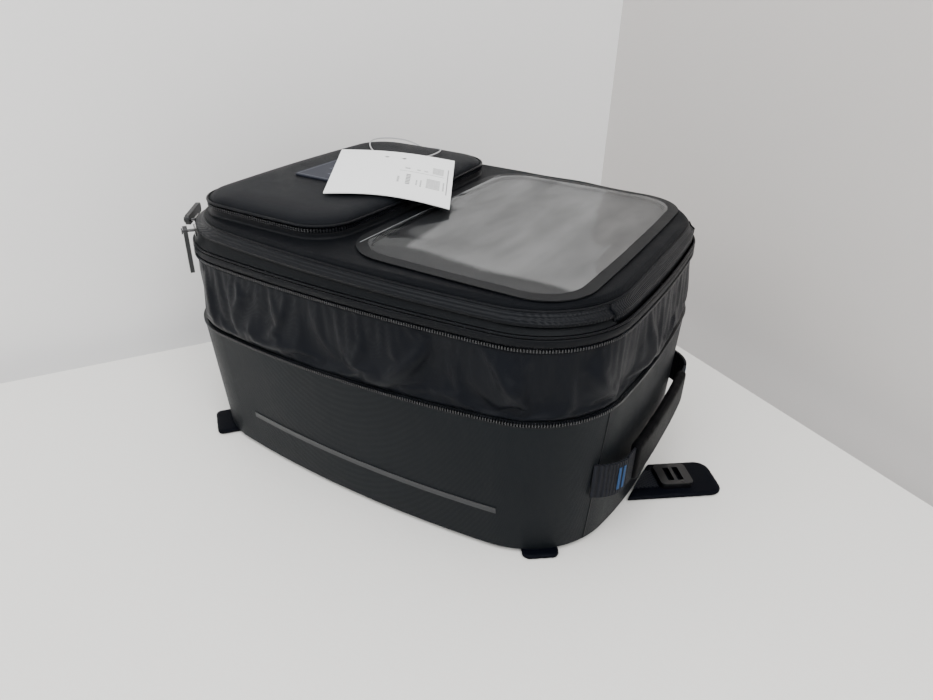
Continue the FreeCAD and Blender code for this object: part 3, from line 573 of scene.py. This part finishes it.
def settled(piece, pinned, pressure, slack, cap, frames, gravity):
    """Let a piece hang or swell as cloth, pinned where its vertices say, then keep the shape."""
    start = [vert.co.copy() for vert in piece.data.vertices]
    group = piece.vertex_groups.new(name="pins")
    for vert in piece.data.vertices:
        group.add([vert.index], pinned(vert.co), "REPLACE")
    modifier = piece.modifiers.new("cloth", "CLOTH")
    sewing = modifier.settings
    sewing.quality, sewing.mass = 8, 0.25
    sewing.tension_stiffness = sewing.compression_stiffness = sewing.shear_stiffness = 8.0
    sewing.bending_stiffness = 0.4
    sewing.vertex_group_mass = "pins"
    sewing.pin_stiffness = 1.0
    sewing.shrink_min = sewing.shrink_max = -slack
    sewing.use_pressure = pressure > 0
    sewing.uniform_pressure_force = pressure
    sewing.effector_weights.gravity = gravity
    modifier.collision_settings.use_collision = False
    scene = bpy.context.scene
    scene.frame_start, scene.frame_end = 1, frames
    modifier.point_cache.frame_start, modifier.point_cache.frame_end = 1, frames
    for number in range(1, frames + 1):
        scene.frame_set(number)
    evaluated(piece, piece.name)
    for vert, was in zip(piece.data.vertices, start):
        moved = vert.co - was
        if moved.length > cap:
            vert.co = was + moved * (cap / moved.length)
    scene.frame_set(1)
    piece.vertex_groups.clear()


def softened(name, node, material, body, voxel, smooth, swell=0.0):
    """Padded copy of a node: remeshed, swollen and smoothed, in place of the plain solid."""
    piece = NODES[node].copy()
    piece.data = NODES[node].data.copy()
    piece.name = name
    for key in list(piece.keys()):
        del piece[key]
    piece.parent = None
    bpy.context.scene.collection.objects.link(piece)
    mesh = bmesh.new()
    mesh.from_mesh(piece.data)
    bmesh.ops.remove_doubles(mesh, verts=mesh.verts, dist=1e-6)
    mesh.to_mesh(piece.data)
    mesh.free()
    remesh = piece.modifiers.new("even", "REMESH")
    remesh.mode, remesh.voxel_size = "VOXEL", voxel
    evaluated(piece, name)
    mesh = bmesh.new()
    mesh.from_mesh(piece.data)
    for _ in range(smooth):
        bmesh.ops.smooth_vert(mesh, verts=mesh.verts, factor=0.5, use_axis_x=True,
                              use_axis_y=True, use_axis_z=True)
    mesh.normal_update()
    for vert in mesh.verts:
        vert.co += vert.normal * swell
    mesh.to_mesh(piece.data)
    mesh.free()
    piece.data.materials.clear()
    piece.data.materials.append(FINISHES[material])
    piece.data.polygons.foreach_set("use_smooth", [True] * len(piece.data.polygons))
    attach(piece, body)
    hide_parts(node)
    return piece


# ---------------------------------------------------------------- expansion fabric

FABRIC_FOOT, FABRIC_HEAD = SHOULDER_Z + 0.0035, RIM_FOOT - 0.0040
FOLD_MIDDLE, FOLD_REACH = 0.142, 0.08

# Deep folds in the fabric: where they are (x, y), how wide, how far in or out, how slanted.
FOLDS = [((-0.098, -0.142), 0.012, 0.004, 0.5), ((-0.060, -0.146), 0.016, 0.004, 0.5),
         ((-0.030, -0.147), 0.012, -0.004, -0.4), ((0.020, -0.147), 0.010, 0.003, 0.6),
         ((0.058, -0.148), 0.009, 0.005, 0.9), ((0.075, -0.147), 0.010, -0.005, 0.2),
         ((0.105, -0.146), 0.010, -0.003, -0.5), ((0.132, -0.138), 0.007, 0.006, -0.7),
         ((0.153, -0.122), 0.012, -0.007, 0.3), ((0.172, -0.095), 0.008, 0.005, -0.8),
         ((0.183, -0.050), 0.016, -0.003, 0.5), ((0.186, -0.010), 0.016, 0.004, -0.5),
         ((0.186, 0.060), 0.022, -0.004, 0.4), ((-0.168, -0.100), 0.014, 0.005, -0.3),
         ((-0.150, -0.125), 0.010, -0.004, 0.4), ((-0.186, 0.020), 0.026, 0.005, 0.5),
         ((-0.150, 0.120), 0.022, -0.004, 0.2), ((-0.060, 0.147), 0.016, 0.005, -0.4),
         ((0.040, 0.147), 0.018, -0.005, 0.5), ((0.130, 0.135), 0.014, 0.005, -0.2)]


def expansion_fabric():
    """Loose fabric between the two rows of the expansion zip, slack and crumpled."""
    low = level(SHOULDER, FABRIC_FOOT, 2.2, SHOULDER_TILT)
    high = level(RIM, FABRIC_HEAD, 1.4, RIM_TILT)
    mesh = wrapped([low, high], 420, 24)
    for vert in mesh.verts:
        spot = vert.co
        outward = Vector((spot.x * 0.6, spot.y, 0)).normalized()
        foot = FABRIC_FOOT + spot.x * math.sin(SHOULDER_TILT)
        head = FABRIC_HEAD + spot.x * math.sin(RIM_TILT)
        share = (spot.z - foot) / (head - foot)
        belly = math.sin(math.pi * min(max(share, 0), 1))
        crumple = (abs(noise.noise(spot * 26)) * 2.2 + abs(noise.noise(spot * 58)) * 0.9
                   + noise.noise(Vector((spot.x * 9, spot.y * 9, spot.z * 14))) * 1.6)
        push = 0.0030 * belly + 0.0014 * belly * (crumple - 0.7)
        for (x, y), width, depth, slant in FOLDS:
            on_a_side = abs(y) > 0.12
            along = spot.x - x if on_a_side else spot.y - y
            along -= slant * (spot.z - FOLD_MIDDLE)
            if math.hypot(spot.x - x, spot.y - y) < FOLD_REACH:
                push += 0.85 * depth * belly * math.exp(-(along / width) ** 2)
        vert.co = spot + outward * push
    piece = finished("expansion_fabric", mesh, "gusset_fabric", replaces=["expansion_gusset"])
    edges = [(FABRIC_FOOT, SHOULDER_TILT), (FABRIC_HEAD, RIM_TILT)]

    def pinned(spot):
        return max(1.0 if abs(spot.z - z - spot.x * math.sin(tilt)) < 0.0012 else 0.0
                   for z, tilt in edges)
    settled(piece, pinned, pressure=0.35, slack=0.02, cap=0.006, frames=18, gravity=0.3)
    piece.data.polygons.foreach_set("use_smooth", [True] * len(piece.data.polygons))
    subdivided(piece)
    thickened(piece, 0.0008)
    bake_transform(piece)
    SHOULDER.length()


# ---------------------------------------------------------------- zips, rim and lid

def zips_and_rim():
    """Rows of teeth on both zips, and the rim's band and piping."""
    pitch, tooth = 0.0019, (0.0010, 0.0022, 0.0027)
    teeth("expansion_teeth_low", level(SHOULDER, SHOULDER_Z + 0.0015, 0.4, SHOULDER_TILT),
          pitch, tooth, "shell", ["expansion_teeth_lower"])
    teeth("expansion_teeth_high", level(RIM, RIM_FOOT - 0.0015, 0.3, RIM_TILT),
          pitch, tooth, "rim", ["expansion_teeth_upper"])
    for name, z, inset, body in (("main_teeth_low", ZIP_LINE - 0.0014, 1.9, "rim"),
                                 ("main_teeth_high", ZIP_LINE + 0.0014, 3.2, "lid")):
        teeth(name, level(ZIP, z, inset), 0.0026, (0.0012, 0.002, 0.0016), body,
              skip=lambda spot: spot.x > 0 and abs(spot.y) < 0.091)
    band = wrapped([level(RIM, RIM_FOOT - 0.0002, 0.2, RIM_TILT),
                    level(RIM, RIM_FOOT + 0.001, -0.6, RIM_TILT),
                    level(RIM, RIM_FOOT + 0.004, -0.9, RIM_TILT),
                    level(RIM, RIM_TOP - 0.0012, -0.4, RIM_TILT)], 260, 1)
    subdivided(thickened(finished("rim_cover", band, "band_fabric", "rim",
                                  replaces=["rim_band"]), 0.0012))
    welt("rim_welt", level(RIM, RIM_TOP - 0.0002, 0.3, RIM_TILT), 0.0009, "piping", "rim",
         replaces=["rim_piping"])


def zip_covers():
    """Coated band that hides the main zip, and the plain band that hinges the lid in front."""
    stations = [level(ZIP, ZIP_LINE + 0.0006, 1.0), level(ZIP, ZIP_LINE + 0.0008, -1.4),
                level(ZIP, ZIP_LINE + 0.0035, -1.3), level(LID, LID_EDGE - 0.0018, -2.4),
                level(LID, LID_EDGE + 0.0006, -1.4), level(LID, LID_EDGE + 0.0010, 0.8)]
    for name, front, body, replaces in (("zip_cover_band", False, "lid", []),
                                        ("hinge_cover_band", True, "rim", ["lid_hinge_band"])):
        foot = [level(RIM, RIM_TOP - 0.0004, 2.4, RIM_TILT)] if front else []
        mesh = wrapped(foot + stations[2 * front:], 300, 2)
        doomed = []
        for face in mesh.faces:
            spot = face.calc_center_median()
            if (spot.x > 0 and abs(spot.y) < 0.0905) != front:
                doomed.append(face)
        bmesh.ops.delete(mesh, geom=doomed, context="FACES")
        thickened(finished(name, mesh, "zip_band", body,
                           replaces=replaces), 0.0007)


PUCKER = 0.0010


def ruffled(spot, share):
    """Slight pucker, most in the middle of the lid's border."""
    ripple = noise.noise(Vector((spot.x * 24, spot.y * 24, 3)))
    spot.z += PUCKER * math.sin(math.pi * share) * ripple
    return spot


def lid_cover():
    """Soft border of the lid: rounded edge, slightly puckered, down to the map window."""
    stations = [level(LID, LID_EDGE + 0.0003, 1.6), level(LID, LID_EDGE + 0.0022, 0.3),
                level(LID, LID_TOP - 0.0016, 1.2), level(LID, LID_TOP + 0.0001, 4.0),
                level(WINDOW, LID_TOP - 0.0001, -6.0), level(WINDOW, LID_TOP - 0.0008, -0.5),
                level(WINDOW, LID_TOP - 0.0015, 3.0)]
    cover = finished("lid_cover", wrapped(stations, 280, 4, ruffled), "lid_fabric", "lid",
                     replaces=["lid_panel"])
    thickened(cover, 0.0016)
    subdivided(cover)
    welt("lid_welt", level(LID, LID_EDGE + 0.0012, -0.1), 0.0010, "piping", "lid",
         replaces=["lid_edge_piping"])


def map_window():
    """Clear film of the map pocket, rippled, with its thicker cut edge at the rear."""
    def height(spot, share):
        slack = math.sin(math.pi * min(share, 1)) * 0.5 + 0.5 * (1 - share ** 4)
        ripple = noise.noise(Vector((spot.x * 13, spot.y * 8, 1))) * 0.0016
        fine = noise.noise(Vector((spot.x * 40, spot.y * 16, 5))) * 0.0005
        crest = spot.y + 0.098 + 0.10 * (spot.x - 0.03)
        swell = (0.0042 * math.exp(-(crest / 0.020) ** 2)
                 * math.exp(-((spot.x - 0.045) / 0.060) ** 2))
        dip = 0.0020 * math.exp(-((spot.x - 0.02) / 0.045) ** 2 - ((spot.y + 0.045) / 0.05) ** 2)
        fine += swell - dip * 0.4
        edge = max(0.0, 1 - abs(share - 0.93) / 0.09)
        pucker = 0.0011 * edge * noise.noise(Vector((spot.x * 60, spot.y * 60, 9)))
        return LID_TOP + 0.0020 + (ripple + fine) * slack + pucker
    film = finished("window_film", capped(WINDOW, 240, 48, height, 0.5 * MM), "map_film", "lid",
                    replaces=["map_window_film"])
    rear = [Vector((-0.0062, side * 0.0105, LID_TOP + 0.0012)) for side in range(-10, 11)]
    tube("film_edge", [rear], 0.0004, "film_rim", "lid")


def pocket():
    """Padded pocket on the lid, domed, with its zip and a welt round its top."""
    def height(spot, share):
        roll = max(0.0, (share - 0.74) / 0.26)
        slump = 0.0006 * noise.noise(Vector((spot.x * 18, spot.y * 14, 7))) * (1 - roll)
        dome = math.sqrt(max(0.0, 1 - roll ** 2.2))
        return POCKET_SEAM + 0.0004 + (POCKET_CROWN - POCKET_SEAM - 0.0008) * dome + slump
    pad = finished("pocket_pad", capped(POCKET, 220, 26, height, 0.2 * MM), "pocket_fabric",
                   "pocket_flap", replaces=["pocket_top_panel"])
    thickened(pad, 0.002)
    welt("pocket_welt", level(POCKET, POCKET_SEAM + 0.0008, -0.3), 0.0010, "piping", "pocket_flap")
    wall = wrapped([level(POCKET, LID_TOP + 0.0001, -1.2), level(POCKET, LID_TOP + 0.0008, 0.0),
                    level(POCKET, POCKET_SEAM - 0.0040, 0.4)], 200, 2)
    subdivided(thickened(finished("pocket_side", wall, "band_fabric", "lid",
                                  replaces=["pocket_wall"]), 0.0012))
    tapes = (("pocket_tape_low", POCKET_SEAM - 0.0042, POCKET_SEAM - 0.0026, "lid",
              ["pocket_zip_lower", "pocket_hinge_strip"]),
             ("pocket_tape_high", POCKET_SEAM - 0.0018, POCKET_SEAM + 0.0004, "pocket_flap",
              ["pocket_zip_upper"]))
    for name, foot, head, body, stands_for in tapes:
        tape = wrapped([level(POCKET, foot, 1.1), level(POCKET, head, 1.0)], 200, 1)
        thickened(finished(name, tape, "zip_tape", body, replaces=stands_for), 0.001)

    def behind(spot):
        return spot.x < POCKET.centre - 0.066
    for name, z, body in (("pocket_teeth_low", POCKET_SEAM - 0.0030, "lid"),
                          ("pocket_teeth_high", POCKET_SEAM - 0.0016, "pocket_flap")):
        teeth(name, level(POCKET, z, 0.1), 0.0022, (0.0012, 0.0018, 0.0012), body, skip=behind)


HANDLE_REACH, HANDLE_PULL = 0.080, 0.006


def hugged(piece):
    """Draw the middle of a handle in towards the bag."""
    for vert in piece.data.vertices:
        share = math.cos(math.pi / 2 * min(1, abs(vert.co.y) / HANDLE_REACH))
        vert.co.x -= math.copysign(HANDLE_PULL * share, vert.co.x)


def soft_fittings():
    """Handles, flaps and strap: padded or thick soft pieces with rounded edges."""
    for end in ("front", "rear"):
        hugged(softened(f"{end}_grip", f"{end}_handle_grip", "grip_foam", f"{end}_handle",
                        0.0012, smooth=14, swell=0.0008))
        hugged(softened(f"{end}_web", f"{end}_handle_webbing", "webbing", f"{end}_handle",
                        0.0011, smooth=1))
    for corner in ("rear_left", "rear_right", "front_left", "front_right"):
        softened(f"{corner}_tab", f"{corner}_flap", "flap_fabric", f"{corner}_flap", 0.0013,
                 smooth=4, swell=0.0003)
    softened("strap_pad", "front_strap_pad", "flap_fabric", "front_strap", 0.0013, smooth=4,
             swell=0.0003)


def hang_tag():
    """Printed card over the pocket: flat on it at the rear, bent down over the window."""
    corners = [Vector((-0.0665, -0.0715, 0.2165)), Vector((0.0150, -0.0200, 0.2050)),
               Vector((-0.0350, 0.0700, 0.2160)), Vector((-0.1380, 0.0385, 0.2178))]
    mesh = bmesh.new()
    uv = mesh.loops.layers.uv.verify()
    bmesh.ops.create_grid(mesh, x_segments=40, y_segments=52, size=1, calc_uvs=True)
    for face in mesh.faces:
        for loop in face.loops:
            loop[uv].uv = (loop[uv].uv.x * 0.100, loop[uv].uv.y * 0.130)
    for vert in mesh.verts:
        across, along = (vert.co.x + 1) / 2, (vert.co.y + 1) / 2
        near, far = corners[0].lerp(corners[1], across), corners[3].lerp(corners[2], across)
        spot = near.lerp(far, along)
        spot.z += 0.0045 * math.sin(math.pi * across) * (1 - 0.4 * along)
        vert.co = spot
    card = finished("tag_card", mesh, "card", "pocket_slider", replaces=["hang_tag"])
    evaluated(thickened(card, 0.0006, 0.0), "tag_card")
    punch = bmesh.new()
    holes_across, holes_along = (0.425, 0.575), 0.854
    for across in holes_across:
        near, far = corners[0].lerp(corners[1], across), corners[3].lerp(corners[2], across)
        spot = near.lerp(far, holes_along)
        bmesh.ops.create_cone(punch, cap_ends=True, segments=20, radius1=0.002, radius2=0.002,
                              depth=0.03, matrix=Matrix.Translation(spot))
    data = bpy.data.meshes.new("punch")
    punch.to_mesh(data)
    punch.free()
    cutter = placed("punch", data)
    holes = card.modifiers.new("holes", "BOOLEAN")
    holes.object, holes.operation, holes.solver = cutter, "DIFFERENCE", "EXACT"
    evaluated(card, "tag_card")
    bpy.data.objects.remove(cutter)
    card.data.polygons.foreach_set("use_smooth", [False] * len(card.data.polygons))


def label():
    """Moulded patch on the pocket's pad, with rounded edges."""
    low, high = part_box("label_patch")
    middle = (low + high) / 2
    middle.x += LABEL_SHIFT
    size = Matrix.Diagonal((0.040, 0.082, 0.0016, 1))
    mesh = bmesh.new()
    bmesh.ops.create_cube(mesh, size=1, matrix=Matrix.Translation(middle) @ size)
    upright = [edge for edge in mesh.edges
               if abs(edge.verts[0].co.z - edge.verts[1].co.z) > 0.001]
    bmesh.ops.bevel(mesh, geom=upright, offset=0.003, segments=4, profile=0.5, affect="EDGES",
                    material=-1)
    bmesh.ops.bevel(mesh, geom=mesh.edges[:], offset=0.0004, segments=2, profile=0.5,
                    affect="EDGES", material=-1)
    finished("label", mesh, "label_rubber", "pocket_flap", replaces=["label_patch"],
             smooth=False)


def crossing(station, side):
    """Where a level curve, in front of the middle, meets the seam plane on one side."""
    return min((spot for spot in curve(station, 900) if spot.x > 0),
               key=lambda spot: abs(spot.y - side * SEAM_Y))


def seams():
    """Stitched seams where the side and end panels meet, and the ends of the main zip's cover."""
    lines = []
    for side in (-1, 1):
        foot = crossing(level(FOOT, 0.0045, 0.1), side)
        head = crossing(level(SHOULDER, SHOULDER_Z, 0.1, SHOULDER_TILT), side)
        line = [foot.lerp(head, step / 12) for step in range(13)]
        lines += [line, [Vector((-spot.x, spot.y, spot.z - 2 * spot.x * math.sin(SHOULDER_TILT)
                                 * step / 12)) for step, spot in enumerate(line)]]
    tube("panel_seams", lines, 0.0007, "piping", "shell")
    ends = []
    for side in (-1, 1):
        ends.append([crossing(level(ZIP, ZIP_LINE + 0.0006, -1.2), side),
                     crossing(level(ZIP, ZIP_LINE + 0.0035, -1.5), side),
                     crossing(level(LID, LID_EDGE - 0.0018, -2.6), side),
                     crossing(level(LID, LID_EDGE + 0.0010, -1.2), side)])
    tube("zip_end_seams", ends, 0.0011, "piping", "lid")


# Route of the string, in millimetres, from the pull and back to it.
STRING = [(-110, 125, 209.2), (-119, 122.5, 213), (-131, 115.5, 215.3),
          (-140, 104, 216.8), (-142, 89, 217.2), (-134, 75, 217.4), (-122, 61, 217.3),
          (-107, 49, 217), (-91, 42, 217), (-76, 43.5, 217), (-65, 55, 217),
          (-60.5, 71, 217.2), (-62.5, 88, 217), (-70, 103, 215.2), (-82, 115, 212.2),
          (-94, 122.4, 209), (-104, 125, 206.6)]


def tag_string():
    """Loop of string from the pocket's pull, over the pad and through the tag's holes."""
    data = bpy.data.curves.new("string_loop", "CURVE")
    data.dimensions, data.bevel_depth, data.bevel_resolution = "3D", 0.0006, 3
    spline = data.splines.new("NURBS")
    spline.points.add(len(STRING) - 1)
    for point, spot in zip(spline.points, STRING):
        point.co = (*(value * MM for value in spot), 1)
    spline.order_u, spline.use_endpoint_u, spline.resolution_u = 3, True, 10
    piece = placed("string_loop", data)
    data.materials.append(FINISHES["string"])
    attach(piece, "pocket_slider")
    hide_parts("tag_string")
    [value * MM for value in STRING[0]]


tag_string()
expansion_fabric()
zips_and_rim()
zip_covers()
lid_cover()
map_window()
pocket()
soft_fittings()
hang_tag()
label()
seams()


# ---------------------------------------------------------------- stage, light, camera

def painted(name, low, high, rough):
    """Smooth paint with faint clouds and orange peel."""
    finish = Finish(name, Specular_IOR_Level=0.3)
    cloud, peel = finish.clouds(3, detail=6), finish.clouds(240, detail=2)
    finish.give(Base_Color=finish.tint(cloud, low, high), Roughness=rough + cloud * 0.1)
    FINISHES[name] = finish.bump((peel, 0.00012)).one_sided().material


def panel(name, paint, size, centre, turn, upright=False):
    """Square sheet of the set: the table's top, or a wall."""
    place = Matrix.Translation(centre) @ Matrix.Rotation(turn, 4, "Z")
    if upright:
        place = place @ Matrix.Rotation(math.pi / 2, 4, "X")
    mesh = bmesh.new()
    bmesh.ops.create_grid(mesh, x_segments=1, y_segments=1, size=size / 2, matrix=place)
    if not upright:
        bmesh.ops.solidify(mesh, geom=mesh.faces[:], thickness=0.02)
    data = bpy.data.meshes.new(name)
    mesh.to_mesh(data)
    mesh.free()
    data.materials.append(FINISHES[paint])
    placed(name, data)


def studio():
    """Corner of a white table against two pale walls, in soft daylight."""
    world = bpy.data.worlds.new("daylight")
    bpy.context.scene.world = world
    world.use_nodes = True
    world.node_tree.nodes["Background"].inputs[0].default_value = (0.95, 0.97, 1.0, 1)
    world.node_tree.nodes["Background"].inputs[1].default_value = 1.1
    painted("table_paint", (0.78, 0.77, 0.74), (0.81, 0.80, 0.77), 0.35)
    painted("wall_paint", (0.82, 0.81, 0.80), (0.85, 0.84, 0.83), 0.8)
    # Darker copy of the wall paint for the right wall: painted shade.
    painted("wall_paint_painted_shade", (0.60, 0.575, 0.555), (0.63, 0.605, 0.585), 0.8)
    corner, turn = Vector((-0.041, 0.370, 0)), math.radians(-31.8)
    right, left = (Vector((math.cos(angle), math.sin(angle), 0))
                   for angle in (turn, turn - math.pi / 2))
    panel("table", "table_paint", 2.0, corner + right + left, turn)
    behind = corner - left * 0.08 - right * 0.035
    panel("right_wall", "wall_paint_painted_shade", 4.0, behind + right * 2, turn, True)
    panel("left_wall", "wall_paint", 4.0, behind + left * 2, turn + math.pi / 2, True)
    for name, place, size, power in (("window_light", (1.6, -0.6, 1.7), 1.4, 44),
                                     ("room_light", (-0.6, -1.5, 1.6), 1.6, 22),
                                     ("ceiling_light", (0.3, -0.2, 2.0), 2.0, 30)):
        lamp = bpy.data.lights.new(name, "AREA")
        lamp.shape, lamp.size, lamp.energy = "SQUARE", size, power
        holder = placed(name, lamp)
        holder.location = place
        aim = Vector((0, 0, 0.1)) - Vector(place)
        holder.rotation_euler = aim.to_track_quat("-Z", "Y").to_euler()


def camera():
    """Looks down at the bag's right side from in front, as one stands before a table."""
    lens = bpy.data.cameras.new("camera")
    lens.sensor_width, lens.lens, lens.clip_start = 36, 26.62, 0.01
    holder = placed("camera", lens)
    view = Vector((2.02359545, 0.56494164, -0.2957178))
    to_camera = Matrix.Rotation(view.length, 3, view.normalized())
    flip = Matrix.Diagonal((1, -1, -1))
    holder.matrix_world = (Matrix.Translation((0.2856, -0.4634, 0.3749))
                           @ (flip @ to_camera).transposed().to_4x4())
    bpy.context.scene.camera = holder


studio()
camera()
